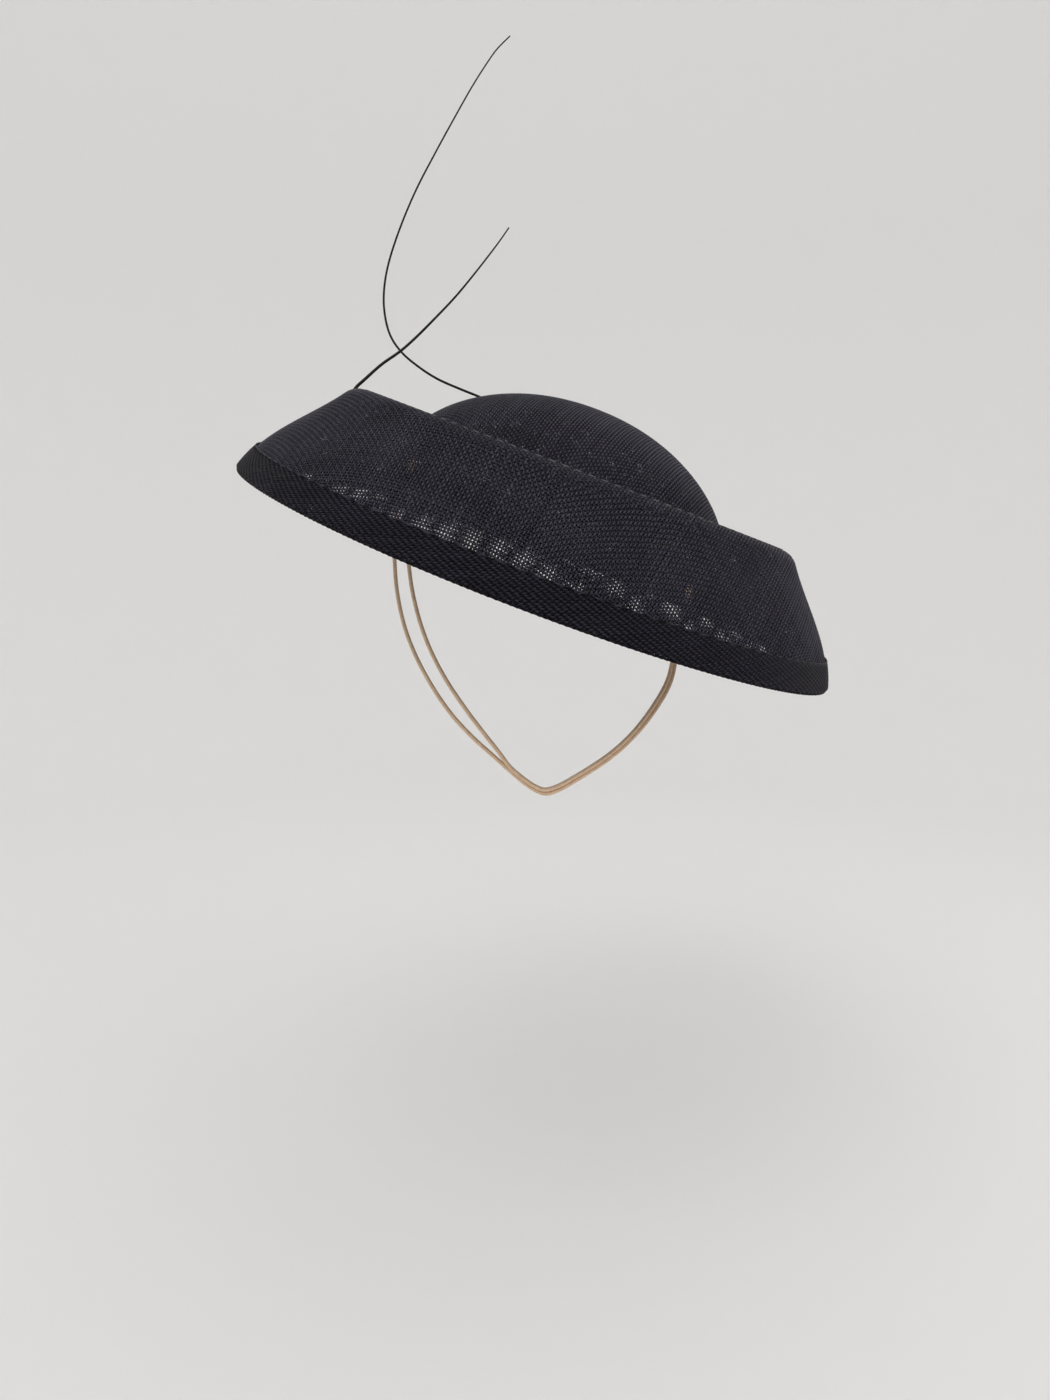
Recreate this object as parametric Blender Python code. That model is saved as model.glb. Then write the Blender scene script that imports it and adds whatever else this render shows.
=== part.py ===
"""Fascinator: a wide mushroom brim with a rolled crest and a low round crown in stiff
open-weave straw, a bias binding round the hem, two stripped quills and a doubled elastic.

Metres, +Z up. The wearer faces -Y. The origin is the middle of the head opening, at the
foot of the crown, and the hat is tilted about it as it is worn.
"""

import math

import bmesh
import bpy
from mathutils import Vector

# How the hat sits: the wearer's right side is lifted, and the front dips
SIDE_TILT = math.radians(20.6)
FRONT_TILT = math.radians(5.9)

# Plan: every ring of the hat is an oval, this much of its width from front to back
DEPTH_SHARE = 0.97

# Straw and the gap between pieces that touch
STRAW_WALL = 0.0015
CLEARANCE = 0.0003

# Crown, a low dome: the two powers set how full its shoulder and its flank are
CROWN_HALF_WIDTH = 0.102
CROWN_HEIGHT = 0.0545
CROWN_SHOULDER_POWER = 2.1
CROWN_FLANK_POWER = 1.5

# Brim: a ledge under the crown's foot, a rise to the rolled crest, and the skirt down to the hem
COLLAR_HEIGHT = 0.008
LEDGE_WIDTH = 0.002
VALLEY_WIDTH = 0.0315
CREST_RISE = 0.0165
CREST_RADIUS = 0.013
SKIRT_REACH = 0.055
SKIRT_DROP = 0.065
SKIRT_BELLY = 0.0035

# Binding: a folded strip over the hem
BINDING_WIDTH = 0.016
BINDING_WALL = 0.001

# Quills: each stands on the brim by its thick end, the long one behind the crown on the
# inner fall of the crest, the short one high on the skirt at the wearer's right
QUILL_ROOT_RADIUS = 0.00105
QUILL_TIP_SHARE = 0.42
LONG_QUILL_RISE = 0.260
LONG_QUILL_SEAT = 0.65
LONG_QUILL_BEARING = math.radians(88)
SHORT_QUILL_RISE = 0.132
SHORT_QUILL_SEAT = 0.80
SHORT_QUILL_BEARING = math.radians(172)

# Elastic: one round cord, doubled
ELASTIC_RADIUS = 0.00125

# How finely the round forms are cut
RING_SIDES = 48
CROWN_RINGS = 9
CREST_STEPS = 6
SKIRT_STEPS = 6
QUILL_STEP = 0.011
ELASTIC_STEP = 0.0058
TUBE_SIDES_LEVEL = 2
CURVE_PARTS = 12
SHARP_EDGE = math.radians(40)
ON_AXIS = 1e-6

# The long quill from its root to its tip: right, back and up, as shares of its rise
LONG_QUILL = [
    (0.000, 0.000, 0.000),
    (-0.045, -0.001, 0.045),
    (-0.115, -0.004, 0.088),
    (-0.190, -0.007, 0.115),
    (-0.260, -0.010, 0.128),
    (-0.327, -0.012, 0.132),
    (-0.387, -0.016, 0.133),
    (-0.444, -0.020, 0.136),
    (-0.499, -0.022, 0.147),
    (-0.554, -0.024, 0.166),
    (-0.598, -0.025, 0.197),
    (-0.631, -0.023, 0.246),
    (-0.652, -0.018, 0.302),
    (-0.663, -0.012, 0.371),
    (-0.664, -0.003, 0.465),
    (-0.657, 0.007, 0.564),
    (-0.642, 0.017, 0.663),
    (-0.626, 0.028, 0.757),
    (-0.609, 0.038, 0.848),
    (-0.592, 0.046, 0.919),
    (-0.579, 0.051, 0.961),
    (-0.560, 0.056, 1.000),
]

# The short quill, in the same columns
SHORT_QUILL = [
    (0.000, 0.000, 0.000),
    (-0.013, 0.018, 0.035),
    (0.019, 0.032, 0.101),
    (0.064, 0.057, 0.187),
    (0.122, 0.085, 0.274),
    (0.167, 0.113, 0.361),
    (0.217, 0.143, 0.472),
    (0.272, 0.180, 0.604),
    (0.322, 0.217, 0.749),
    (0.370, 0.256, 0.905),
    (0.395, 0.278, 1.000),
]

# The outer strand of the elastic, in metres: right, back and up from the origin
OUTER_STRAND = [
    (-0.0881, -0.0004, 0.0374),
    (-0.0916, 0.0003, 0.0288),
    (-0.0985, -0.0010, 0.0100),
    (-0.1035, -0.0030, -0.0085),
    (-0.1050, -0.0060, -0.0254),
    (-0.1046, -0.0092, -0.0401),
    (-0.1029, -0.0133, -0.0577),
    (-0.0986, -0.0186, -0.0768),
    (-0.0916, -0.0249, -0.0945),
    (-0.0812, -0.0324, -0.1127),
    (-0.0691, -0.0396, -0.1291),
    (-0.0563, -0.0454, -0.1421),
    (-0.0445, -0.0501, -0.1520),
    (-0.0352, -0.0535, -0.1597),
    (-0.0262, -0.0563, -0.1670),
    (-0.0185, -0.0582, -0.1718),
    (-0.0123, -0.0588, -0.1733),
    (-0.0054, -0.0582, -0.1712),
    (0.0032, -0.0562, -0.1668),
    (0.0129, -0.0530, -0.1614),
    (0.0224, -0.0493, -0.1558),
    (0.0319, -0.0449, -0.1491),
    (0.0406, -0.0399, -0.1416),
    (0.0482, -0.0345, -0.1339),
    (0.0548, -0.0289, -0.1260),
    (0.0605, -0.0234, -0.1180),
    (0.0643, -0.0188, -0.1104),
    (0.0669, -0.0140, -0.1010),
    (0.0701, -0.0090, -0.0863),
    (0.0750, -0.0044, -0.0670),
    (0.0813, -0.0010, -0.0480),
    (0.0881, 0.0012, -0.0373),
    (0.0908, 0.0011, -0.0297),
]

# The inner strand, in the same columns
INNER_STRAND = [
    (-0.0875, -0.0133, 0.0357),
    (-0.0911, -0.0126, 0.0264),
    (-0.0942, -0.0138, 0.0065),
    (-0.0945, -0.0180, -0.0123),
    (-0.0950, -0.0220, -0.0295),
    (-0.0939, -0.0259, -0.0443),
    (-0.0915, -0.0299, -0.0590),
    (-0.0868, -0.0348, -0.0762),
    (-0.0801, -0.0396, -0.0928),
    (-0.0709, -0.0444, -0.1093),
    (-0.0596, -0.0489, -0.1255),
    (-0.0486, -0.0527, -0.1395),
    (-0.0403, -0.0554, -0.1496),
    (-0.0340, -0.0560, -0.1580),
    (-0.0271, -0.0582, -0.1637),
    (-0.0201, -0.0599, -0.1684),
    (-0.0137, -0.0606, -0.1706),
    (-0.0062, -0.0600, -0.1687),
    (0.0031, -0.0580, -0.1640),
    (0.0129, -0.0548, -0.1586),
    (0.0224, -0.0510, -0.1529),
    (0.0314, -0.0467, -0.1464),
    (0.0395, -0.0418, -0.1392),
    (0.0466, -0.0363, -0.1317),
    (0.0529, -0.0307, -0.1240),
    (0.0585, -0.0251, -0.1162),
    (0.0623, -0.0205, -0.1087),
    (0.0650, -0.0159, -0.0991),
    (0.0683, -0.0111, -0.0847),
    (0.0732, -0.0069, -0.0661),
    (0.0788, -0.0050, -0.0468),
    (0.0870, -0.0048, -0.0375),
    (0.0902, -0.0054, -0.0302),
]

# Colours, and how rough each surface is
STRAW_COLOUR = (0.030, 0.029, 0.036, 1.0)
BINDING_COLOUR = (0.016, 0.015, 0.021, 1.0)
QUILL_COLOUR = (0.008, 0.008, 0.011, 1.0)
ELASTIC_COLOUR = (0.43, 0.29, 0.20, 1.0)
STRAW_ROUGHNESS = 0.55
QUILL_ROUGHNESS = 0.30
ELASTIC_ROUGHNESS = 0.75


def clear_scene():
    for obj in list(bpy.data.objects):
        bpy.data.objects.remove(obj, do_unlink=True)


def material(name, colour, roughness):
    mat = bpy.data.materials.new(name)
    mat.use_nodes = True
    shader = mat.node_tree.nodes["Principled BSDF"]
    shader.inputs["Base Color"].default_value = colour
    shader.inputs["Roughness"].default_value = roughness
    shader.inputs["Metallic"].default_value = 0.0
    return mat


def offset(line, distance, level_start=False, end_on_axis=False):
    """The line moved sideways, to its left. Its first point can keep its height, and its
    last one can stay on the hat's axis."""
    ways = [(b - a).normalized() for a, b in zip(line, line[1:])]
    sides = [Vector((-way.y, way.x)) for way in ways]
    moved = []
    for i, point in enumerate(line):
        before = sides[max(i - 1, 0)]
        after = sides[min(i, len(sides) - 1)]
        moved.append(point + (before + after) * distance / (1 + before.dot(after)))
    if level_start:
        moved[0] += ways[0] * (line[0].y - moved[0].y) / ways[0].y
    if end_on_axis:
        moved[-1] -= ways[-1] * moved[-1].x / ways[-1].x
    return moved


def up_to(line, length):
    """The first stretch of a line, cut at this length."""
    kept = [line[0]]
    for a, b in zip(line, line[1:]):
        step = (b - a).length
        if step >= length:
            return kept + [a.lerp(b, length / step)]
        kept.append(b)
        length -= step
    return kept


def crown_line():
    """The crown's outer face from its foot to its top, as half width and height."""
    points = []
    for i in range(CROWN_RINGS + 1):
        turn = math.pi / 2 * i / CROWN_RINGS
        across = max(math.cos(turn), 0.0) ** (2 / CROWN_SHOULDER_POWER)
        up = math.sin(turn) ** (2 / CROWN_FLANK_POWER)
        points.append(Vector((CROWN_HALF_WIDTH * across, CROWN_HEIGHT * up)))
    points[-1].x = 0.0
    return points


def skirt_and_crest():
    """The brim's upper face from the hem to the inner side of the crest."""
    crest_x = CROWN_HALF_WIDTH + VALLEY_WIDTH
    centre = Vector((crest_x, CREST_RISE - CREST_RADIUS))
    hem = Vector((crest_x + SKIRT_REACH, CREST_RISE - SKIRT_DROP))
    valley = Vector((CROWN_HALF_WIDTH + LEDGE_WIDTH, -CLEARANCE))

    def touch_angle(point, side):
        """Where the line from the point touches the crest's circle."""
        out = point - centre
        return math.atan2(out.y, out.x) % math.tau + side * math.acos(CREST_RADIUS / out.length)

    start = touch_angle(hem, 1) - math.tau
    end = touch_angle(valley, -1)
    arc = []
    for i in range(CREST_STEPS + 1):
        angle = start + (end - start) * i / CREST_STEPS
        arc.append(centre + CREST_RADIUS * Vector((math.cos(angle), math.sin(angle))))
    chord = hem - arc[0]
    outward = Vector((-chord.y, chord.x)).normalized()
    # the belly is fullest two thirds of the way down, where this product peaks
    peak = 27 / 4
    skirt = []
    for i in range(SKIRT_STEPS):
        down = 1 - i / SKIRT_STEPS
        belly = SKIRT_BELLY * peak * down ** 2 * (1 - down)
        skirt.append(arc[0] + chord * down + outward * belly)
    return skirt + arc + [valley]


def brim_line():
    """The brim's whole upper face: hem, skirt, crest, valley, ledge and collar."""
    inside_crown = offset(crown_line(), STRAW_WALL + CLEARANCE, level_start=True)
    collar = up_to(inside_crown, COLLAR_HEIGHT)
    ledge = Vector((collar[0].x, -CLEARANCE))
    return skirt_and_crest() + [ledge] + collar[1:]


def binding_section():
    """The strip's closed section: down the outside, round the hem and up the inside."""
    upper = brim_line()
    lower = offset(upper, STRAW_WALL)
    outside = up_to(upper, BINDING_WIDTH)
    inside = up_to(lower, BINDING_WIDTH)
    fold = outside[::-1] + inside
    return offset(fold, CLEARANCE) + offset(fold, CLEARANCE + BINDING_WALL)[::-1]


def on_ring(point, bearing):
    """A point of a section, as half width and height, turned to a bearing round the hat."""
    return Vector((
        point.x * math.cos(bearing),
        point.x * math.sin(bearing) * DEPTH_SHARE,
        point.y,
    ))


def turned(name, section, mat, parent):
    """A closed section carried round the oval as one solid."""
    mesh = bpy.data.meshes.new(name)
    form = bmesh.new()
    rings = []
    for point in section:
        if abs(point.x) < ON_AXIS:
            rings.append([form.verts.new((0, 0, point.y))])
            continue
        bearings = [math.tau * i / RING_SIDES for i in range(RING_SIDES)]
        rings.append([form.verts.new(on_ring(point, bearing)) for bearing in bearings])
    for ring, above in zip(rings, rings[1:] + rings[:1]):
        if len(ring) == 1 and len(above) == 1:
            continue
        for i in range(RING_SIDES):
            j = (i + 1) % RING_SIDES
            corners = []
            for side, first, second in ((ring, i, j), (above, j, i)):
                corners += [side[0]] if len(side) == 1 else [side[first], side[second]]
            form.faces.new(corners)
    bmesh.ops.recalc_face_normals(form, faces=form.faces[:])
    form.to_mesh(mesh)
    form.free()
    mesh.shade_smooth()
    mesh.set_sharp_from_angle(angle=SHARP_EDGE)
    mesh.materials.append(mat)
    obj = bpy.data.objects.new(name, mesh)
    bpy.context.collection.objects.link(obj)
    obj.parent = parent
    return obj


def smooth_path(points, step):
    """Points a step apart on a smooth curve through the given ones."""
    points = [Vector(point) for point in points]
    ends = [2 * points[0] - points[1]] + points + [2 * points[-1] - points[-2]]
    fine = [points[0]]
    for a, b, c, d in zip(ends, ends[1:], ends[2:], ends[3:]):
        for i in range(1, CURVE_PARTS + 1):
            t = i / CURVE_PARTS
            bend = (2 * a - 5 * b + 4 * c - d) * t ** 2 + (3 * b - a - 3 * c + d) * t ** 3
            fine.append(b + 0.5 * ((c - a) * t + bend))
    lengths = [0.0]
    for a, b in zip(fine, fine[1:]):
        lengths.append(lengths[-1] + (b - a).length)
    count = max(2, round(lengths[-1] / step))
    path = []
    k = 0
    for i in range(count + 1):
        reach = lengths[-1] * i / count
        while k < len(fine) - 2 and lengths[k + 1] < reach:
            k += 1
        share = (reach - lengths[k]) / (lengths[k + 1] - lengths[k])
        path.append(fine[k].lerp(fine[k + 1], share))
    return path


def tube(name, path, radius, mat, tip_share=1.0, parent=None):
    """A round rod along a path, which can taper evenly to a share of its radius."""
    curve = bpy.data.curves.new(name, "CURVE")
    curve.dimensions = "3D"
    curve.bevel_depth = radius
    curve.bevel_resolution = TUBE_SIDES_LEVEL
    curve.use_fill_caps = True
    spline = curve.splines.new("POLY")
    spline.points.add(len(path) - 1)
    for i, (point, place) in enumerate(zip(spline.points, path)):
        point.co = (*place, 1.0)
        point.radius = 1 + (tip_share - 1) * i / (len(path) - 1)
    spline.use_smooth = True
    curve.materials.append(mat)
    obj = bpy.data.objects.new(name, curve)
    bpy.context.collection.objects.link(obj)
    obj.parent = parent
    return obj


def seat_on_brim(share, bearing, stretch):
    """A place just clear of the brim's upper face, a share of the way along a stretch of
    its line, for the middle of a quill's thick end."""
    a, b = stretch
    way = (b - a).normalized()
    outward = Vector((way.y, -way.x))
    point = a.lerp(b, share) + outward * (QUILL_ROOT_RADIUS + CLEARANCE)
    return on_ring(point, bearing)


def quill(name, seat, rows, rise, mat, parent):
    route = [seat + Vector(row) * rise for row in rows]
    path = smooth_path(route, QUILL_STEP)
    return tube(name, path, QUILL_ROOT_RADIUS, mat, QUILL_TIP_SHARE, parent)


def build():
    clear_scene()
    hat = bpy.data.objects.new("hat_tilt", None)
    bpy.context.collection.objects.link(hat)
    hat.rotation_euler = (FRONT_TILT, SIDE_TILT, 0)

    straw = material("straw", STRAW_COLOUR, STRAW_ROUGHNESS)
    bias = material("binding", BINDING_COLOUR, STRAW_ROUGHNESS)
    spine = material("quill", QUILL_COLOUR, QUILL_ROUGHNESS)
    cord = material("elastic", ELASTIC_COLOUR, ELASTIC_ROUGHNESS)

    outer_crown = crown_line()
    inner_crown = offset(outer_crown, STRAW_WALL, level_start=True, end_on_axis=True)
    turned("crown", outer_crown + inner_crown[::-1], straw, hat)

    upper = brim_line()
    lower = offset(upper, STRAW_WALL)
    turned("brim", upper + lower[::-1], straw, hat)
    turned("brim_binding", binding_section(), bias, hat)

    inner_fall = (upper[SKIRT_STEPS + CREST_STEPS], upper[SKIRT_STEPS + CREST_STEPS + 1])
    long_seat = seat_on_brim(LONG_QUILL_SEAT, LONG_QUILL_BEARING, inner_fall)
    quill("quill_long", long_seat, LONG_QUILL, LONG_QUILL_RISE, spine, hat)
    high_skirt = (upper[SKIRT_STEPS - 1], upper[SKIRT_STEPS])
    short_seat = seat_on_brim(SHORT_QUILL_SEAT, SHORT_QUILL_BEARING, high_skirt)
    quill("quill_short", short_seat, SHORT_QUILL, SHORT_QUILL_RISE, spine, hat)

    for name, route in (("elastic_outer", OUTER_STRAND), ("elastic_inner", INNER_STRAND)):
        tube(name, smooth_path(route, ELASTIC_STEP), ELASTIC_RADIUS, cord)


build()
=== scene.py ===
"""Looks of a mushroom-brimmed straw hat: woven crown and brim, bias binding, quills and elastic.

The straw is made of separate threads, laid on the same profile as the plain solids. All sizes
are in metres, and the wearer faces -Y.
"""

import math
from collections import namedtuple

import bpy
import numpy as np
from mathutils import Euler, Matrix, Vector


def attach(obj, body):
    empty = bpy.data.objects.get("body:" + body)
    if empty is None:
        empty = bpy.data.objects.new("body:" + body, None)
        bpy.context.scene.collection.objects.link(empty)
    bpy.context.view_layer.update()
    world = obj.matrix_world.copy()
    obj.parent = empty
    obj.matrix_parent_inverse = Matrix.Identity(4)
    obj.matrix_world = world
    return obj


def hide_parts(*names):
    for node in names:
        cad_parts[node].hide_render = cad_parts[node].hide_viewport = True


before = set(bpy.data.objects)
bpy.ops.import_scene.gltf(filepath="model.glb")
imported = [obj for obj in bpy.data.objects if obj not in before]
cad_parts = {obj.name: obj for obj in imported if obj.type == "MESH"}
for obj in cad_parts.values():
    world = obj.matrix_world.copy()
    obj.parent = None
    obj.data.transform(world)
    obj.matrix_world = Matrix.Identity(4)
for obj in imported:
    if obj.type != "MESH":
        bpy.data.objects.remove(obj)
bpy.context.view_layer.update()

# Camera: where the photograph was taken from
CAMERA_PLACE = (-0.0251, -0.6489, -0.0468)
CAMERA_DIP = math.radians(6.96)
CAMERA_LENS = 26.74
SENSOR = 36.0
NEAR_CLIP = 0.01

# How the hat sits, and its plan
SIDE_TILT = math.radians(20.6)
FRONT_TILT = math.radians(5.9)
DEPTH_SHARE = 0.97

# Sizes of the solids that the straw follows
STRAW_WALL = 0.0015
CLEARANCE = 0.0003
CROWN_HALF_WIDTH = 0.102
CROWN_HEIGHT = 0.0545
CROWN_SHOULDER_POWER = 2.1
CROWN_FLANK_POWER = 1.5
COLLAR_HEIGHT = 0.008
LEDGE_WIDTH = 0.002
VALLEY_WIDTH = 0.0315
CREST_RISE = 0.0165
CREST_RADIUS = 0.013
SKIRT_REACH = 0.055
SKIRT_DROP = 0.065
SKIRT_BELLY = 0.0035
BINDING_WIDTH = 0.016
BINDING_WALL = 0.001
ELASTIC_RADIUS = 0.00125
QUILL_ROOT_RADIUS = 0.00105
QUILL_TIP_SHARE = 0.42

# Steps along each stretch of the profile, and round the hem's fold
CROWN_STEPS = 160
CREST_STEPS = 40
SKIRT_STEPS = 60
FOLD_STEPS = 9

# Weave: one family of threads to a row. It runs square to its bearing, in degrees. Its spread
# says how the spacing holds on the slopes: 0 as seen from above, 1 along the straw. The depth
# is taken from the outer face.
Family = namedtuple("Family", "bearing spread pitch width depth")
BRIM_WEAVE = {
    "brim_warp": Family(-11.0, 0.33, 0.00175, 0.00098, 0.00024),
    "brim_weft": Family(70.0, 0.95, 0.00192, 0.00102, 0.00030),
    "brim_lining_warp": Family(-3.5, 0.33, 0.00175, 0.00112, 0.00100),
    "brim_lining_weft": Family(77.5, 0.95, 0.00192, 0.00114, 0.00110),
}
CROWN_WEAVE = {
    "crown_warp": Family(-11.0, 0.80, 0.00185, 0.00096, 0.00024),
    "crown_weft": Family(76.0, 0.80, 0.00165, 0.00080, 0.00034),
    "crown_lining_warp": Family(-3.5, 0.80, 0.00185, 0.00100, 0.00100),
    "crown_lining_weft": Family(83.5, 0.80, 0.00165, 0.00090, 0.00110),
}
THREAD_THICKNESS = 0.00042
THREAD_STEP = 0.0045
THREAD_SIDES = 4
WIDTH_WANDER = 0.14
PLACE_WANDER = 0.05

# Binding: a bias strip, stretched until its threads lie close to the hem's direction
BIAS_ANGLE = math.radians(20)
BIAS_PITCH = 0.00118
BIAS_THREAD_WIDTH = 0.00086
BIAS_STEPS = 16
EDGE_THREAD_WIDTH = 0.0011
EDGE_THREAD_THICKNESS = 0.0009

# Collar: the turned-up inner edge of the brim, inside the crown's foot
COLLAR_ANGLE = math.radians(45)
COLLAR_PITCH = 0.0017
COLLAR_THREAD_WIDTH = 0.0011
COLLAR_STEPS = 4

# Light thread along the top of the crest: a painted highlight for the glint where the straw
# turns over it
CREST_GLINT_THREAD = 0.0005

# Threads that run once round the hat
RING_STEPS = 240
RING_TONE = 0.5

# Round rods: their sides, the distance from ring to ring, and the parts that each stretch of
# their smooth curve is read in
TUBE_SIDES = 12
ELASTIC_STEP = 0.0012
QUILL_STEP = 0.0016
CURVE_PARTS = 12

# Straw: how much each cause changes a thread's tone, then its relief and its shine
STRAW_TONE_SHARE = 0.16
# The under-crossing share is painted shade: a thread's colour darkens where it passes under a
# crossing one
STRAW_UNDER_SHADE_SHARE = 0.34
STRAW_FIBRE_SHARE = 0.45
STRAW_PATCH_SHARE = 0.30
STRAW_FIBRE_SCALE = 900.0
STRAW_PATCH_SCALE = 26.0
STRAW_DARK_LEVEL = 0.23
STRAW_LIGHT_LEVEL = 0.93
STRAW_RELIEF = 0.00020
STRAW_RELIEF_STRENGTH = 0.9
STRAW_FIBRE_RELIEF = 0.8
STRAW_SPECULAR = 0.12
STRAW_ROUGHNESS = 0.50
LINING_ROUGHNESS = 0.65
BINDING_ROUGHNESS = 0.55
CREST_GLINT_ROUGHNESS = 0.6

# Quill surface: faint specks
QUILL_ROUGHNESS = 0.35
QUILL_SPECULAR = 0.25
SPECK_SCALE = 700.0
SPECK_DARK_LEVEL = 0.3
SPECK_LIGHT_LEVEL = 0.8
SPECK_RELIEF = 0.00005
SPECK_RELIEF_STRENGTH = 0.5

# Elastic surface: a braid of fine threads
ELASTIC_ROUGHNESS = 0.7
ELASTIC_SPECULAR = 0.3
BRAID_PITCH = 0.0022
BRAID_STARTS = 4
BRAID_SHARE = 0.20
SPECKLE_SHARE = 0.8
SPECKLE_SCALE = 420.0
ELASTIC_LIGHT_LEVEL = 0.7
BRAID_RELIEF = 0.00006
BRAID_RELIEF_STRENGTH = 0.6

# Colours: the darkest and the lightest tone of each material
STRAW_DARK = (0.0010, 0.0009, 0.0020)
STRAW_LIGHT = (0.0860, 0.0830, 0.1160)
# The inner layer's colours: the same straw darkened as painted shade, for the outer layer's
# shadow over it
SHADED_LINING_DARK = (0.0015, 0.0014, 0.0022)
SHADED_LINING_LIGHT = (0.0150, 0.0145, 0.0180)
BINDING_DARK = (0.0008, 0.0007, 0.0016)
BINDING_LIGHT = (0.0460, 0.0430, 0.0620)
# The crest thread's colours are a painted highlight: the glint along the top of the crest
CREST_GLINT_DARK = (0.020, 0.019, 0.024)
CREST_GLINT_LIGHT = (0.240, 0.236, 0.250)
QUILL_DARK = (0.002, 0.002, 0.003)
QUILL_LIGHT = (0.008, 0.008, 0.011)
ELASTIC_DARK = (0.56, 0.38, 0.25)
ELASTIC_LIGHT = (0.86, 0.64, 0.45)

# Surroundings
FLOOR_HEIGHT = -0.43
FLOOR_FLAT_RADIUS = 1.2
FLOOR_SWEEP_RADIUS = 1.3
FLOOR_RIM_HEIGHT = 2.2
FLOOR_SWEEP_STEPS = 24
FLOOR_SIDES = 96
FLOOR_COLOUR = (0.840, 0.835, 0.828, 1.0)
FLOOR_ROUGHNESS = 0.9
FLOOR_SPECULAR = 0.2
WORLD_COLOUR = (0.80, 0.80, 0.80, 1.0)
WORLD_STRENGTH = 1.12
LIGHT_TARGET = (0, 0, 0)
KEY_PLACE = (-0.6, -1.1, 1.5)
KEY_SIZE = 1.4
KEY_POWER = 8.0
KEY_COLOUR = (1.0, 0.985, 0.96)
FILL_PLACE = (1.2, -0.8, 0.6)
FILL_SIZE = 1.0
FILL_POWER = 3.0
FILL_COLOUR = (0.97, 0.98, 1.0)

# Routes of the two strands of the elastic: right, back and up from the origin
OUTER_STRAND = [
    (-0.0881, -0.0004, 0.0374),
    (-0.0916, 0.0003, 0.0288),
    (-0.0985, -0.0010, 0.0100),
    (-0.1035, -0.0030, -0.0085),
    (-0.1050, -0.0060, -0.0254),
    (-0.1046, -0.0092, -0.0401),
    (-0.1029, -0.0133, -0.0577),
    (-0.0986, -0.0186, -0.0768),
    (-0.0916, -0.0249, -0.0945),
    (-0.0812, -0.0324, -0.1127),
    (-0.0691, -0.0396, -0.1291),
    (-0.0563, -0.0454, -0.1421),
    (-0.0445, -0.0501, -0.1520),
    (-0.0352, -0.0535, -0.1597),
    (-0.0262, -0.0563, -0.1670),
    (-0.0185, -0.0582, -0.1718),
    (-0.0123, -0.0588, -0.1733),
    (-0.0054, -0.0582, -0.1712),
    (0.0032, -0.0562, -0.1668),
    (0.0129, -0.0530, -0.1614),
    (0.0224, -0.0493, -0.1558),
    (0.0319, -0.0449, -0.1491),
    (0.0406, -0.0399, -0.1416),
    (0.0482, -0.0345, -0.1339),
    (0.0548, -0.0289, -0.1260),
    (0.0605, -0.0234, -0.1180),
    (0.0643, -0.0188, -0.1104),
    (0.0669, -0.0140, -0.1010),
    (0.0701, -0.0090, -0.0863),
    (0.0750, -0.0044, -0.0670),
    (0.0813, -0.0010, -0.0480),
    (0.0881, 0.0012, -0.0373),
    (0.0908, 0.0011, -0.0297),
]
INNER_STRAND = [
    (-0.0875, -0.0133, 0.0357),
    (-0.0911, -0.0126, 0.0264),
    (-0.0942, -0.0138, 0.0065),
    (-0.0945, -0.0180, -0.0123),
    (-0.0950, -0.0220, -0.0295),
    (-0.0939, -0.0259, -0.0443),
    (-0.0915, -0.0299, -0.0590),
    (-0.0868, -0.0348, -0.0762),
    (-0.0801, -0.0396, -0.0928),
    (-0.0709, -0.0444, -0.1093),
    (-0.0596, -0.0489, -0.1255),
    (-0.0486, -0.0527, -0.1395),
    (-0.0403, -0.0554, -0.1496),
    (-0.0340, -0.0560, -0.1580),
    (-0.0271, -0.0582, -0.1637),
    (-0.0201, -0.0599, -0.1684),
    (-0.0137, -0.0606, -0.1706),
    (-0.0062, -0.0600, -0.1687),
    (0.0031, -0.0580, -0.1640),
    (0.0129, -0.0548, -0.1586),
    (0.0224, -0.0510, -0.1529),
    (0.0314, -0.0467, -0.1464),
    (0.0395, -0.0418, -0.1392),
    (0.0466, -0.0363, -0.1317),
    (0.0529, -0.0307, -0.1240),
    (0.0585, -0.0251, -0.1162),
    (0.0623, -0.0205, -0.1087),
    (0.0650, -0.0159, -0.0991),
    (0.0683, -0.0111, -0.0847),
    (0.0732, -0.0069, -0.0661),
    (0.0788, -0.0050, -0.0468),
    (0.0870, -0.0048, -0.0375),
    (0.0902, -0.0054, -0.0302),
]

# The long quill from its root to its tip: right, back and up, as shares of its rise
LONG_QUILL_RISE = 0.260
LONG_QUILL_SEAT = 0.65
LONG_QUILL_BEARING = math.radians(88)
LONG_QUILL = [
    (0.000, 0.000, 0.000),
    (-0.045, -0.001, 0.045),
    (-0.115, -0.004, 0.088),
    (-0.190, -0.007, 0.115),
    (-0.260, -0.010, 0.128),
    (-0.327, -0.012, 0.132),
    (-0.387, -0.016, 0.133),
    (-0.444, -0.020, 0.136),
    (-0.499, -0.022, 0.147),
    (-0.554, -0.024, 0.166),
    (-0.598, -0.025, 0.197),
    (-0.631, -0.023, 0.246),
    (-0.652, -0.018, 0.302),
    (-0.663, -0.012, 0.371),
    (-0.664, -0.003, 0.465),
    (-0.657, 0.007, 0.564),
    (-0.642, 0.017, 0.663),
    (-0.626, 0.028, 0.757),
    (-0.609, 0.038, 0.848),
    (-0.592, 0.046, 0.919),
    (-0.579, 0.051, 0.961),
    (-0.560, 0.056, 1.000),
]

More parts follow.
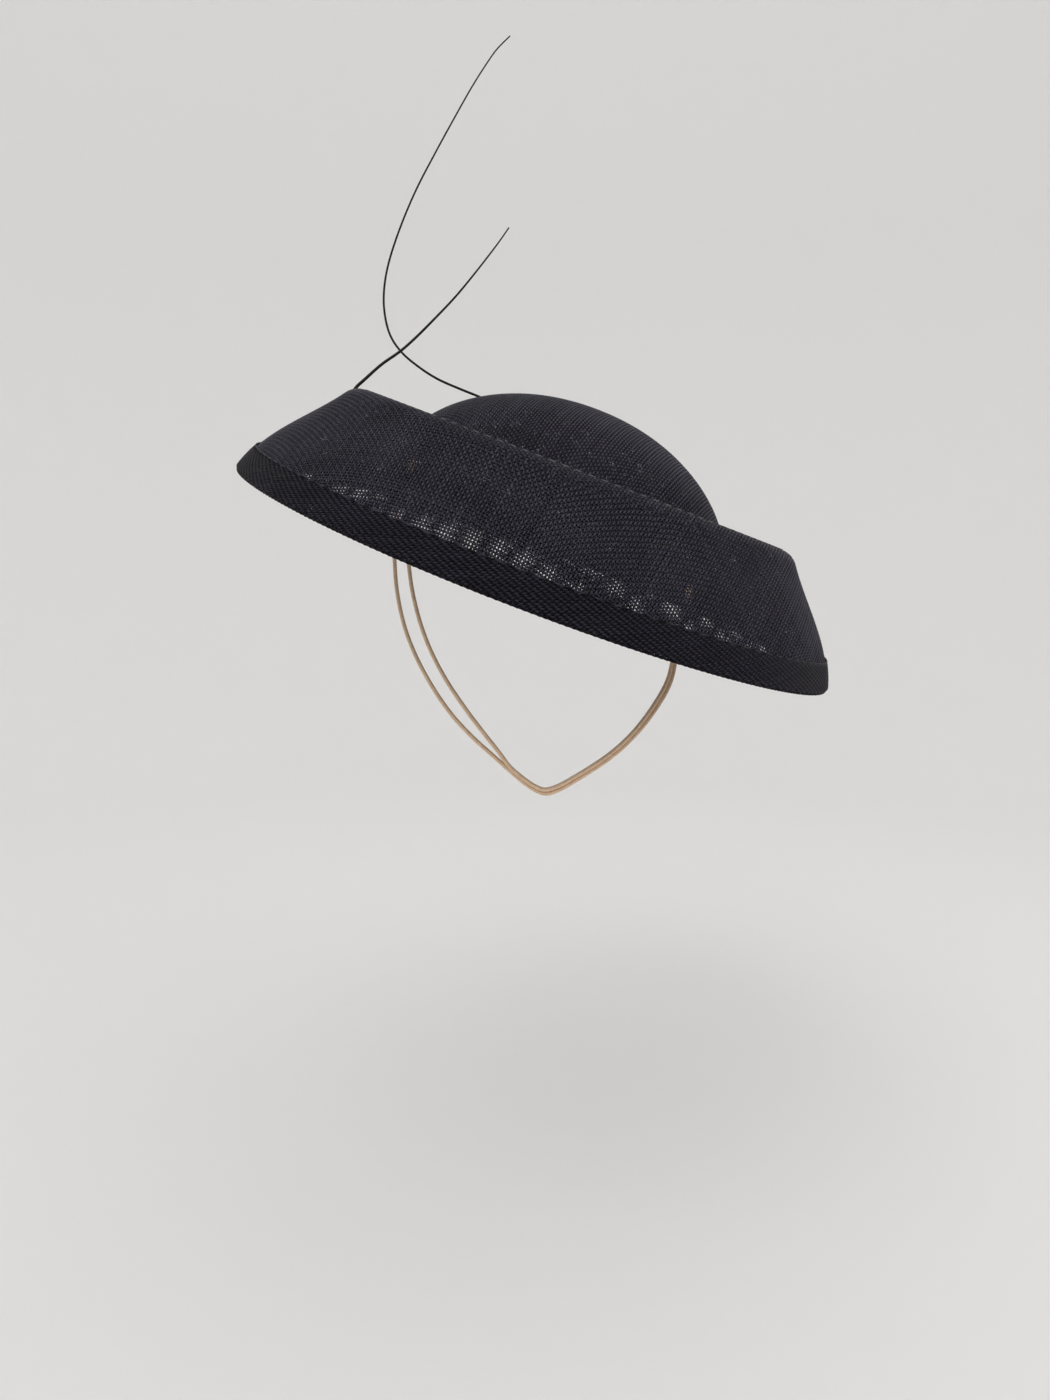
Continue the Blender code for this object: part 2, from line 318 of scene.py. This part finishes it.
# The short quill, in the same columns. It sits on the skirt's first steps.
SHORT_QUILL_RISE = 0.132
SHORT_QUILL_SEAT = 0.80
SHORT_QUILL_BEARING = math.radians(172)
SHORT_QUILL_SKIRT_STEPS = 10
SHORT_QUILL = [
    (0.000, 0.000, 0.000),
    (-0.013, 0.018, 0.035),
    (0.019, 0.032, 0.101),
    (0.064, 0.057, 0.187),
    (0.122, 0.085, 0.274),
    (0.167, 0.113, 0.361),
    (0.217, 0.143, 0.472),
    (0.272, 0.180, 0.604),
    (0.322, 0.217, 0.749),
    (0.370, 0.256, 0.905),
    (0.395, 0.278, 1.000),
]

# What down ** 2 * (1 - down) is multiplied by, so that it peaks at 1
BELLY_SCALE = 27 / 4

RANDOM_SEED = 7
RANDOM = np.random.default_rng(RANDOM_SEED)
TILT = np.array(Euler((FRONT_TILT, SIDE_TILT, 0)).to_matrix())


def to_world(points):
    """Points of the level hat, tilted as it is worn."""
    return np.asarray(points) @ TILT.T


# Profile of the hat, in its own level frame


def crown_profile():
    """The crown's outer face from its top to its foot: half width and height."""
    turn = np.linspace(math.pi / 2, 0, CROWN_STEPS)
    across = np.maximum(np.cos(turn), 0) ** (2 / CROWN_SHOULDER_POWER)
    up = np.sin(turn) ** (2 / CROWN_FLANK_POWER)
    return np.c_[CROWN_HALF_WIDTH * across, CROWN_HEIGHT * up]


def crest_and_skirt():
    """The brim's upper face from the valley over the rolled crest to the hem."""
    crest_x = CROWN_HALF_WIDTH + VALLEY_WIDTH
    centre = np.array([crest_x, CREST_RISE - CREST_RADIUS])
    hem = np.array([crest_x + SKIRT_REACH, CREST_RISE - SKIRT_DROP])
    valley = np.array([CROWN_HALF_WIDTH + LEDGE_WIDTH, -CLEARANCE])

    def touch_angle(point, side):
        """Where the line from the point touches the crest's circle."""
        out = point - centre
        turn = math.acos(CREST_RADIUS / np.hypot(*out))
        return math.atan2(out[1], out[0]) % math.tau + side * turn

    angles = np.linspace(touch_angle(valley, -1), touch_angle(hem, 1) - math.tau, CREST_STEPS)
    arc = centre + CREST_RADIUS * np.c_[np.cos(angles), np.sin(angles)]
    chord = hem - arc[-1]
    outward = np.array([-chord[1], chord[0]]) / np.hypot(*chord)
    down = np.linspace(0, 1, SKIRT_STEPS)[1:, None]
    belly = SKIRT_BELLY * BELLY_SCALE * down ** 2 * (1 - down)
    skirt = arc[-1] + chord * down + outward * belly
    return np.vstack([valley, arc, skirt])


def brim_profile():
    """The brim's upper face from the ledge under the crown's foot to the hem."""
    ledge = (CROWN_HALF_WIDTH - STRAW_WALL - CLEARANCE, -CLEARANCE)
    return np.vstack([ledge, crest_and_skirt()])


def collar_profile():
    """The collar's outer face, from the ledge up inside the crown's foot."""
    flank = crown_profile()[::-1]
    inset = STRAW_WALL + CLEARANCE
    rows = [(x - inset, z) for x, z in flank if z <= COLLAR_HEIGHT]
    return np.array(rows)


def lengths_along(line, start=0.0):
    """The length from the start to each point of a line, flat or in space."""
    steps = np.linalg.norm(np.diff(line, axis=0), axis=1)
    return start + np.r_[0, np.cumsum(steps)]


def outward_normals(line):
    """A unit normal at each point of a profile that runs from the axis outwards."""
    ways = np.gradient(line, axis=0)
    normals = np.c_[-ways[:, 1], ways[:, 0]]
    return normals / np.linalg.norm(normals, axis=1)[:, None]


def round_oval(radius, height, bearing):
    """Points of a turned oval."""
    return np.c_[radius * np.cos(bearing), radius * np.sin(bearing) * DEPTH_SHARE, height]


def round_oval_normal(out, up, bearing):
    """Unit normals of a turned oval, from those of its profile."""
    normal = np.c_[out * np.cos(bearing), out * np.sin(bearing) / DEPTH_SHARE, up]
    return normal / np.linalg.norm(normal, axis=1)[:, None]


class Surface:
    """A profile carried round the oval: a place on it is a length along it and a bearing."""

    def __init__(self, line, start):
        self.line = line
        self.length = lengths_along(line, start)
        self.normal = outward_normals(line)

    def place(self, length, bearing):
        """The points and unit normals at these places."""
        radius = np.interp(length, self.length, self.line[:, 0])
        height = np.interp(length, self.length, self.line[:, 1])
        out = np.interp(length, self.length, self.normal[:, 0])
        up = np.interp(length, self.length, self.normal[:, 1])
        return round_oval(radius, height, bearing), round_oval_normal(out, up, bearing)

    def spread_radius(self, spread):
        """The radius that a thread family measures by, at each point of the profile."""
        return self.line[:, 0] * (1 - spread) + self.length * spread


# Threads: each one is a closed ribbon with a diamond section


class Strands:
    """Collects strands and turns them into one mesh."""

    def __init__(self):
        self.points = []
        self.faces = []
        self.cross = []
        self.tone = []
        self.count = 0

    def add(self, middle, normal, width, thickness, cross, tone):
        """One strand along the middle points. Cross counts the threads that it has crossed."""
        rings = len(middle)
        way = np.gradient(middle, axis=0)
        way /= np.linalg.norm(way, axis=1)[:, None]
        side = np.cross(way, normal)
        side /= np.linalg.norm(side, axis=1)[:, None]
        half_width = side * width / 2
        half_height = normal * thickness / 2
        ring = np.stack([
            middle + half_width,
            middle + half_height,
            middle - half_width,
            middle - half_height,
        ], axis=1)
        self.points.append(ring.reshape(-1, 3))
        first = self.count + THREAD_SIDES * np.arange(rings - 1)[:, None]
        corner = np.arange(THREAD_SIDES)
        following = (corner + 1) % THREAD_SIDES
        quads = np.stack([
            first + corner,
            first + THREAD_SIDES + corner,
            first + THREAD_SIDES + following,
            first + following,
        ], axis=2)
        last = self.count + THREAD_SIDES * (rings - 1)
        caps = [self.count + corner, last + corner[::-1]]
        self.faces.append(np.vstack([quads.reshape(-1, THREAD_SIDES), caps]))
        self.cross.append(np.repeat(cross, THREAD_SIDES))
        self.tone.append(np.full(rings * THREAD_SIDES, tone))
        self.count += rings * THREAD_SIDES

    def mesh_object(self, name, mat):
        """One piece of the hat from all strands, with cross and tone kept at each point."""
        mesh = bpy.data.meshes.new(name)
        points = to_world(np.vstack(self.points)).astype(np.float32)
        faces = np.vstack(self.faces).astype(np.int32)
        mesh.vertices.add(len(points))
        mesh.vertices.foreach_set("co", points.ravel())
        mesh.loops.add(faces.size)
        mesh.loops.foreach_set("vertex_index", faces.ravel())
        mesh.polygons.add(len(faces))
        starts = np.arange(0, faces.size, THREAD_SIDES, dtype=np.int32)
        mesh.polygons.foreach_set("loop_start", starts)
        mesh.update(calc_edges=True)
        for label, values in (("cross", self.cross), ("tone", self.tone)):
            layer = mesh.attributes.new(label, "FLOAT", "POINT")
            layer.data.foreach_set("value", np.concatenate(values).astype(np.float32))
        mesh.shade_smooth()
        mesh.materials.append(mat)
        return add_piece(name, mesh)


def add_piece(name, data):
    """Links a finished mesh as a piece of the hat."""
    obj = bpy.data.objects.new(name, data)
    bpy.context.scene.collection.objects.link(obj)
    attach(obj, "root")
    return obj


def stretches_across(offset, inner, outer):
    """Where a straight thread crosses the hat's plan: in two stretches beside a hole."""
    reach = math.sqrt(outer ** 2 - offset ** 2)
    if abs(offset) >= inner:
        return [(-reach, reach)]
    hole = math.sqrt(inner ** 2 - offset ** 2)
    return [(-reach, -hole), (hole, reach)]


def weave(name, surface, family, crossing, parity, mat):
    """One family of threads over a whole surface. Crossing is the family that it is woven
    with."""
    turn = math.radians(family.bearing)
    cross_turn = math.radians(crossing.bearing)
    radii = surface.spread_radius(family.spread)
    cross_radii = surface.spread_radius(crossing.spread)
    inner = radii[0]
    outer = radii[-1]
    strands = Strands()
    count = int(outer / family.pitch)
    for i in range(-count, count + 1):
        offset = (i + PLACE_WANDER * RANDOM.standard_normal()) * family.pitch
        width = family.width * (1 + WIDTH_WANDER * RANDOM.uniform(-1, 1))
        tone = RANDOM.uniform()
        if abs(offset) > outer - family.pitch / 2:
            continue
        for start, end in stretches_across(offset, inner, outer):
            steps = max(2, round((end - start) / THREAD_STEP))
            along = np.linspace(start, end, steps + 1)
            length = np.interp(np.hypot(offset, along), radii, surface.length)
            round_hat = turn + np.arctan2(along, offset)
            point, normal = surface.place(length, round_hat)
            cross_radius = np.interp(length, surface.length, cross_radii)
            across = cross_radius * np.cos(round_hat - cross_turn)
            cross = across / crossing.pitch + i + parity
            middle = point - normal * family.depth
            strands.add(middle, normal, width, THREAD_THICKNESS, cross, tone)
    return strands.mesh_object(name, mat)


def bias_strip(name, path, normals, angle, pitch, width, steps, mat, radius):
    """Two crossing families of threads in a strip that runs round the hat. The path is the
    strip's section, and the radius that of the hat where the strip runs."""
    along_path = lengths_along(path)
    count = round(math.tau * radius * math.sin(angle) / pitch)
    down = np.linspace(0, along_path[-1], steps + 1)
    x = np.interp(down, along_path, path[:, 0])
    z = np.interp(down, along_path, path[:, 1])
    out = np.interp(down, along_path, normals[:, 0])
    up = np.interp(down, along_path, normals[:, 1])
    strands = Strands()
    for side in (1, -1):
        for i in range(count):
            start = math.tau * (i + PLACE_WANDER * RANDOM.standard_normal()) / count
            bearing = start + side * down / math.tan(angle) / radius
            normal = round_oval_normal(out, up, bearing)
            middle = round_oval(x, z, bearing) - normal * side * THREAD_THICKNESS / 4
            thread_width = width * (1 + WIDTH_WANDER * RANDOM.uniform(-1, 1))
            tone = RANDOM.uniform()
            cross = 2 * down / (pitch / math.cos(angle)) + i + (side + 1) / 2
            strands.add(middle, normal, thread_width, THREAD_THICKNESS, cross, tone)
    return strands.mesh_object(name, mat)


def offset_line(line, distance):
    """A profile moved sideways along its outward normals."""
    return line + outward_normals(line) * distance


def binding_path():
    """The folded strip's middle line: down outside, round the hem and up inside."""
    surface = Surface(brim_profile(), 0.0)
    kept = surface.length >= surface.length[-1] - BINDING_WIDTH
    outer = surface.line[kept]
    lift = CLEARANCE + BINDING_WALL / 2
    outside = offset_line(outer, lift)
    inside = offset_line(outer, -STRAW_WALL - lift)[::-1]
    middle = (outside[-1] + inside[0]) / 2
    start = outside[-1] - middle
    turned_start = np.array([start[1], -start[0]])
    turns = np.linspace(0, math.pi, FOLD_STEPS)[1:-1]
    fold = [middle + start * math.cos(t) + turned_start * math.sin(t) for t in turns]
    path = np.vstack([outside, fold, inside])
    return path, outward_normals(path)


def edge_ring(name, point, normal, width, thickness, mat):
    """One thread once round the hat."""
    marks = np.arange(RING_STEPS + 1.0)
    bearing = np.linspace(0, math.tau, RING_STEPS + 1)
    middle = round_oval(point[0], np.full_like(bearing, point[1]), bearing)
    normals = round_oval_normal(normal[0], np.full_like(bearing, normal[1]), bearing)
    strands = Strands()
    strands.add(middle, normals, width, thickness, marks, RING_TONE)
    return strands.mesh_object(name, mat)


# Round rods: quills and elastic


def smooth_path(points, step):
    """Points a step apart on a smooth curve through the given ones."""
    points = np.asarray(points, float)
    ends = np.vstack([2 * points[0] - points[1], points, 2 * points[-1] - points[-2]])
    fine = [points[0]]
    for a, b, c, d in zip(ends, ends[1:], ends[2:], ends[3:]):
        for i in range(1, CURVE_PARTS + 1):
            t = i / CURVE_PARTS
            bend = (2 * a - 5 * b + 4 * c - d) * t ** 2 + (3 * b - a - 3 * c + d) * t ** 3
            fine.append(b + 0.5 * ((c - a) * t + bend))
    fine = np.array(fine)
    lengths = lengths_along(fine)
    count = max(2, round(lengths[-1] / step))
    marks = np.linspace(0, lengths[-1], count + 1)
    path = np.stack([np.interp(marks, lengths, fine[:, k]) for k in range(3)], axis=1)
    return path, lengths[-1]


def rod_rings(path, radii):
    """The rings of a rod's points, carried along its path without a twist."""
    way = np.gradient(path, axis=0)
    way /= np.linalg.norm(way, axis=1)[:, None]
    side = np.cross(way[0], (0.0, 0.0, 1.0))
    sides = []
    for step in way:
        side = side - step * side.dot(step)
        side = side / np.linalg.norm(side)
        sides.append(side)
    sides = np.array(sides)
    others = np.cross(way, sides)
    turns = np.linspace(0, math.tau, TUBE_SIDES, endpoint=False)[None, :, None]
    ring = sides[:, None] * np.cos(turns) + others[:, None] * np.sin(turns)
    return path[:, None] + ring * np.asarray(radii)[:, None, None]


def rod(name, path, radii, mat):
    """A closed round rod along a path, with the way along and around kept as its UV map."""
    points = rod_rings(path, radii)
    lengths = lengths_along(path)
    faces = []
    places = []
    for i in range(len(path) - 1):
        for j in range(TUBE_SIDES):
            k = (j + 1) % TUBE_SIDES
            a = i * TUBE_SIDES
            b = a + TUBE_SIDES
            faces.append((a + j, a + k, b + k, b + j))
            for ring_index, turn in ((i, j), (i, j + 1), (i + 1, j + 1), (i + 1, j)):
                places.append((lengths[ring_index], turn / TUBE_SIDES))
    faces.append(tuple(range(TUBE_SIDES))[::-1])
    last = (len(path) - 1) * TUBE_SIDES
    faces.append(tuple(last + j for j in range(TUBE_SIDES)))
    places += [(0.0, 0.0)] * TUBE_SIDES + [(lengths[-1], 0.0)] * TUBE_SIDES
    mesh = bpy.data.meshes.new(name)
    mesh.from_pydata(points.reshape(-1, 3).tolist(), [], faces)
    layer = mesh.uv_layers.new(name="way")
    layer.data.foreach_set("uv", np.array(places, np.float32).ravel())
    mesh.shade_smooth()
    mesh.materials.append(mat)
    return add_piece(name, mesh)


# Materials


class Nodes:
    """A short way to write a material's node tree."""

    def __init__(self, name, roughness, specular):
        self.mat = bpy.data.materials.new(name)
        self.mat.use_nodes = True
        self.tree = self.mat.node_tree
        self.shader = self.tree.nodes["Principled BSDF"]
        self.shader.inputs["Roughness"].default_value = roughness
        self.shader.inputs["Specular IOR Level"].default_value = specular

    def link(self, source, target):
        self.tree.links.new(source, target)

    def attribute(self, name):
        """A value that the mesh keeps at each point."""
        node = self.tree.nodes.new("ShaderNodeAttribute")
        node.attribute_name = name
        return node.outputs["Fac"]

    def maths(self, operation, first, second=0.0):
        """One sum, on numbers or on other nodes' results."""
        node = self.tree.nodes.new("ShaderNodeMath")
        node.operation = operation
        for socket, value in zip(node.inputs, (first, second)):
            if isinstance(value, (int, float)):
                socket.default_value = value
            else:
                self.link(value, socket)
        return node.outputs[0]

    def noise(self, scale, detail=3.0):
        """Random specks, so many to a metre."""
        node = self.tree.nodes.new("ShaderNodeTexNoise")
        node.inputs["Scale"].default_value = scale
        node.inputs["Detail"].default_value = detail
        place = self.tree.nodes.new("ShaderNodeTexCoord").outputs["Object"]
        self.link(place, node.inputs["Vector"])
        return node.outputs["Fac"]

    def colour(self, value, stops):
        """The surface's colour, from a dark stop to a light one."""
        node = self.tree.nodes.new("ShaderNodeValToRGB")
        for element, (position, colour) in zip(node.color_ramp.elements, stops):
            element.position = position
            element.color = (*colour, 1.0)
        self.link(value, node.inputs["Fac"])
        self.link(node.outputs["Color"], self.shader.inputs["Base Color"])

    def bump(self, height, distance, strength):
        """Fine relief on the surface, a distance high in metres."""
        node = self.tree.nodes.new("ShaderNodeBump")
        node.inputs["Distance"].default_value = distance
        node.inputs["Strength"].default_value = strength
        self.link(height, node.inputs["Height"])
        self.link(node.outputs["Normal"], self.shader.inputs["Normal"])


def straw_material(name, dark, light, roughness):
    """Dyed straw thread: its colour varies from thread to thread, and painted shade darkens it
    where it passes under a crossing thread."""
    nodes = Nodes(name, roughness, STRAW_SPECULAR)
    # over is 1 where a thread lies over a crossing one and -1 under it: in the colour it is
    # painted shade, in the bump real relief
    over = nodes.maths("COSINE", nodes.maths("MULTIPLY", nodes.attribute("cross"), math.pi))
    fibre = nodes.noise(STRAW_FIBRE_SCALE)
    patch = nodes.noise(STRAW_PATCH_SCALE, detail=2.0)
    level = nodes.maths("MULTIPLY", nodes.attribute("tone"), STRAW_TONE_SHARE)
    shares = ((over, STRAW_UNDER_SHADE_SHARE), (fibre, STRAW_FIBRE_SHARE), (patch, STRAW_PATCH_SHARE))
    for value, share in shares:
        level = nodes.maths("ADD", level, nodes.maths("MULTIPLY", value, share))
    nodes.colour(level, [(STRAW_DARK_LEVEL, dark), (STRAW_LIGHT_LEVEL, light)])
    height = nodes.maths("ADD", over, nodes.maths("MULTIPLY", fibre, STRAW_FIBRE_RELIEF))
    nodes.bump(height, STRAW_RELIEF, STRAW_RELIEF_STRENGTH)
    return nodes.mat


def quill_material():
    """Dyed feather spine: smooth and nearly black, with faint specks."""
    nodes = Nodes("quill", QUILL_ROUGHNESS, QUILL_SPECULAR)
    specks = nodes.noise(SPECK_SCALE, detail=2.0)
    nodes.colour(specks, [(SPECK_DARK_LEVEL, QUILL_DARK), (SPECK_LIGHT_LEVEL, QUILL_LIGHT)])
    nodes.bump(specks, SPECK_RELIEF, SPECK_RELIEF_STRENGTH)
    return nodes.mat


def elastic_material():
    """Round elastic with a tan cover, braided from fine threads."""
    nodes = Nodes("elastic", ELASTIC_ROUGHNESS, ELASTIC_SPECULAR)
    place = nodes.tree.nodes.new("ShaderNodeUVMap")
    place.uv_map = "way"
    split = nodes.tree.nodes.new("ShaderNodeSeparateXYZ")
    nodes.link(place.outputs["UV"], split.inputs["Vector"])
    along = nodes.maths("MULTIPLY", split.outputs["X"], math.tau / BRAID_PITCH)
    around = nodes.maths("MULTIPLY", split.outputs["Y"], math.tau * BRAID_STARTS)
    left = nodes.maths("SINE", nodes.maths("ADD", along, around))
    right = nodes.maths("SINE", nodes.maths("SUBTRACT", along, around))
    braid = nodes.maths("MULTIPLY", left, right)
    level = nodes.maths("MULTIPLY", braid, BRAID_SHARE)
    speckle = nodes.maths("MULTIPLY", nodes.noise(SPECKLE_SCALE), SPECKLE_SHARE)
    level = nodes.maths("ADD", level, speckle)
    nodes.colour(level, [(0.0, ELASTIC_DARK), (ELASTIC_LIGHT_LEVEL, ELASTIC_LIGHT)])
    nodes.bump(braid, BRAID_RELIEF, BRAID_RELIEF_STRENGTH)
    return nodes.mat


def floor_material():
    nodes = Nodes("floor", FLOOR_ROUGHNESS, FLOOR_SPECULAR)
    nodes.shader.inputs["Base Color"].default_value = FLOOR_COLOUR
    return nodes.mat


# The pieces


def make_elastic():
    cord = elastic_material()
    for name, route in (("elastic_outer", OUTER_STRAND), ("elastic_inner", INNER_STRAND)):
        path, length = smooth_path(route, ELASTIC_STEP)
        radii = np.full(len(path), ELASTIC_RADIUS)
        piece = rod(name + "_cord", path, radii, cord)
        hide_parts(name)


def seat_on_brim(share, bearing, start, end):
    """The middle of a quill's thick end, a share of the way along a stretch of the profile."""
    way = (end - start) / np.hypot(*(end - start))
    outward = np.array([way[1], -way[0]])
    x, z = start + (end - start) * share + outward * (QUILL_ROOT_RADIUS + CLEARANCE)
    return np.array([x * math.cos(bearing), x * math.sin(bearing) * DEPTH_SHARE, z])


def make_quills():
    spine = quill_material()
    line = crest_and_skirt()
    valley = line[0]
    crest_start = line[1]
    skirt_top = line[CREST_STEPS]
    skirt_lower = line[CREST_STEPS + SHORT_QUILL_SKIRT_STEPS]
    long_seat = seat_on_brim(LONG_QUILL_SEAT, LONG_QUILL_BEARING, crest_start, valley)
    short_seat = seat_on_brim(SHORT_QUILL_SEAT, SHORT_QUILL_BEARING, skirt_lower, skirt_top)
    for name, seat, rows, rise in (
        ("quill_long", long_seat, LONG_QUILL, LONG_QUILL_RISE),
        ("quill_short", short_seat, SHORT_QUILL, SHORT_QUILL_RISE),
    ):
        path, _ = smooth_path(to_world(seat + np.array(rows) * rise), QUILL_STEP)
        shares = np.linspace(1, QUILL_TIP_SHARE, len(path))
        piece = rod(name + "_spine", path, QUILL_ROOT_RADIUS * shares, spine)
        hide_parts(name)


def make_straw():
    """Crown and brim: two layers each, and in each layer a warp and a weft."""
    straw = straw_material("straw", STRAW_DARK, STRAW_LIGHT, STRAW_ROUGHNESS)
    # The inner layer gets a darker copy of the straw: painted shade for the outer layer's shadow
    shaded_lining = straw_material("straw_lining_painted_shade", SHADED_LINING_DARK, SHADED_LINING_LIGHT, LINING_ROUGHNESS)
    brim_line = brim_profile()
    brim = Surface(brim_line, brim_line[0, 0])
    crown = Surface(crown_profile(), 0.0)
    for surface, rows, node in ((brim, BRIM_WEAVE, "brim"), (crown, CROWN_WEAVE, "crown")):
        names = list(rows)
        for warp, weft, mat in ((names[0], names[1], straw), (names[2], names[3], shaded_lining)):
            for name, other, parity in ((warp, weft, 0), (weft, warp, 1)):
                piece = weave(name, surface, rows[name], rows[other], parity, mat)
                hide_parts(node)


def make_binding():
    """The folded bias strip and the thicker thread along each of its edges."""
    bias = straw_material("binding", BINDING_DARK, BINDING_LIGHT, BINDING_ROUGHNESS)
    path, normals = binding_path()
    radius = CROWN_HALF_WIDTH + VALLEY_WIDTH + SKIRT_REACH
    piece = bias_strip("binding_weave", path, normals, BIAS_ANGLE, BIAS_PITCH, BIAS_THREAD_WIDTH,
                       BIAS_STEPS, bias, radius)
    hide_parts("brim_binding")
    for name, i in (("binding_edge_outside", 0), ("binding_edge_inside", -1)):
        edge_ring(name, path[i], normals[i], EDGE_THREAD_WIDTH, EDGE_THREAD_THICKNESS, bias)


def make_crest_glint_thread():
    """A light thread along the top of the crest: painted highlight for the glint where the straw
    turns over it.
    """
    mat = straw_material("crest_glint_thread", CREST_GLINT_DARK, CREST_GLINT_LIGHT, CREST_GLINT_ROUGHNESS)
    line = crest_and_skirt()
    top = int(np.argmax(line[:, 1]))
    normal = outward_normals(line)[top]
    edge_ring("crest_glint_thread", line[top], normal, CREST_GLINT_THREAD, CREST_GLINT_THREAD, mat)


def make_collar():
    """The brim's turned-up inner edge, in the inner layer's straw, darkened as painted shade."""
    shaded_lining = bpy.data.materials["straw_lining_painted_shade"]
    path = offset_line(collar_profile(), -THREAD_THICKNESS)
    bias_strip("collar_weave", path, -outward_normals(path), COLLAR_ANGLE, COLLAR_PITCH,
               COLLAR_THREAD_WIDTH, COLLAR_STEPS, shaded_lining, CROWN_HALF_WIDTH)


# Surroundings


def make_camera():
    data = bpy.data.cameras.new("camera")
    data.lens = CAMERA_LENS
    data.sensor_width = SENSOR
    data.clip_start = NEAR_CLIP
    camera = bpy.data.objects.new("camera", data)
    camera.location = CAMERA_PLACE
    camera.rotation_euler = (math.pi / 2 - CAMERA_DIP, 0, 0)
    bpy.context.scene.collection.objects.link(camera)
    bpy.context.scene.camera = camera


def area_light(name, place, size, power, colour):
    """A round light that faces the hat."""
    data = bpy.data.lights.new(name, "AREA")
    data.shape = "DISK"
    data.size = size
    data.energy = power
    data.color = colour
    light = bpy.data.objects.new(name, data)
    light.location = place
    way = Vector(LIGHT_TARGET) - Vector(place)
    light.rotation_euler = way.to_track_quat("-Z", "Y").to_euler()
    bpy.context.scene.collection.objects.link(light)


def make_floor():
    """A plain round floor that sweeps up into a wall all round, so that no edge shows."""
    turns = np.linspace(0, math.pi / 2, FLOOR_SWEEP_STEPS)
    rows = [(FLOOR_FLAT_RADIUS + FLOOR_SWEEP_RADIUS * math.sin(t),
             FLOOR_HEIGHT + FLOOR_SWEEP_RADIUS * (1 - math.cos(t))) for t in turns]
    rows.append((rows[-1][0], FLOOR_RIM_HEIGHT))
    bearings = [math.tau * i / FLOOR_SIDES for i in range(FLOOR_SIDES)]
    points = [(r * math.cos(b), r * math.sin(b), z) for r, z in rows for b in bearings]
    faces = [tuple(range(FLOOR_SIDES))]
    for row in range(len(rows) - 1):
        for i in range(FLOOR_SIDES):
            k = (i + 1) % FLOOR_SIDES
            a = row * FLOOR_SIDES
            b = a + FLOOR_SIDES
            faces.append((a + i, b + i, b + k, a + k))
    mesh = bpy.data.meshes.new("floor")
    mesh.from_pydata(points, [], faces)
    mesh.shade_smooth()
    mesh.materials.append(floor_material())
    floor = bpy.data.objects.new("floor", mesh)
    bpy.context.scene.collection.objects.link(floor)


def make_surroundings():
    scene = bpy.context.scene
    scene.view_settings.view_transform = "Standard"
    world = bpy.data.worlds.new("studio")
    world.use_nodes = True
    background = world.node_tree.nodes["Background"]
    background.inputs["Color"].default_value = WORLD_COLOUR
    background.inputs["Strength"].default_value = WORLD_STRENGTH
    scene.world = world
    make_floor()
    area_light("key", KEY_PLACE, KEY_SIZE, KEY_POWER, KEY_COLOUR)
    area_light("fill", FILL_PLACE, FILL_SIZE, FILL_POWER, FILL_COLOUR)


def main():
    make_camera()
    make_elastic()
    make_surroundings()
    make_straw()
    make_binding()
    make_crest_glint_thread()
    make_collar()
    make_quills()


main()
